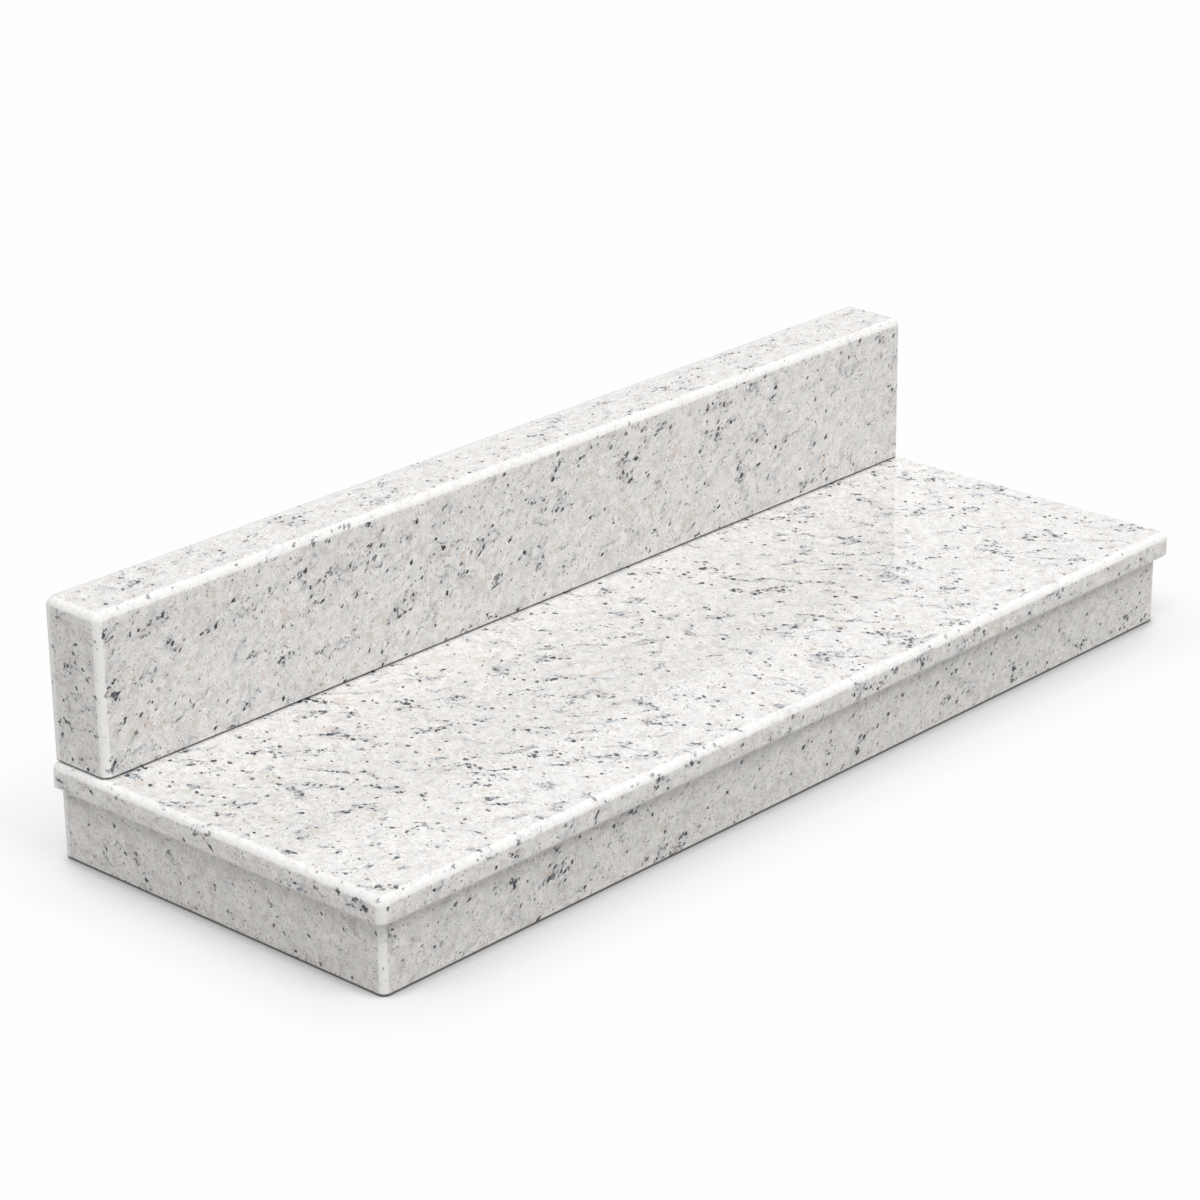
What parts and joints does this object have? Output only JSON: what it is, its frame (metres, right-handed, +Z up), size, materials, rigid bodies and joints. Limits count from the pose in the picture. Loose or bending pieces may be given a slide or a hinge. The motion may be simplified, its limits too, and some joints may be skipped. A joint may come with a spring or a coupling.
{
  "type": "granite stair tread",
  "caption": "Stair step of polished granite: a base block, an overhanging tread slab with rounded edges, and an upstand along its back.",
  "frame": {"origin": "on the floor, under the middle of the step's bounding box", "axes": "+X along the step's length, -Y is the front that is stepped on to, +Z up"},
  "size_m": [1.2, 0.445, 0.271],
  "materials": {
    "base_granite": "polished white granite with dark specks",
    "tread_granite": "polished white granite with dark specks",
    "upstand_granite": "polished white granite with dark specks"
  },
  "bodies": {
    "root": {"base_block": "base_granite", "tread_slab": "tread_granite", "upstand": "upstand_granite"}
  },
  "joints": []
}
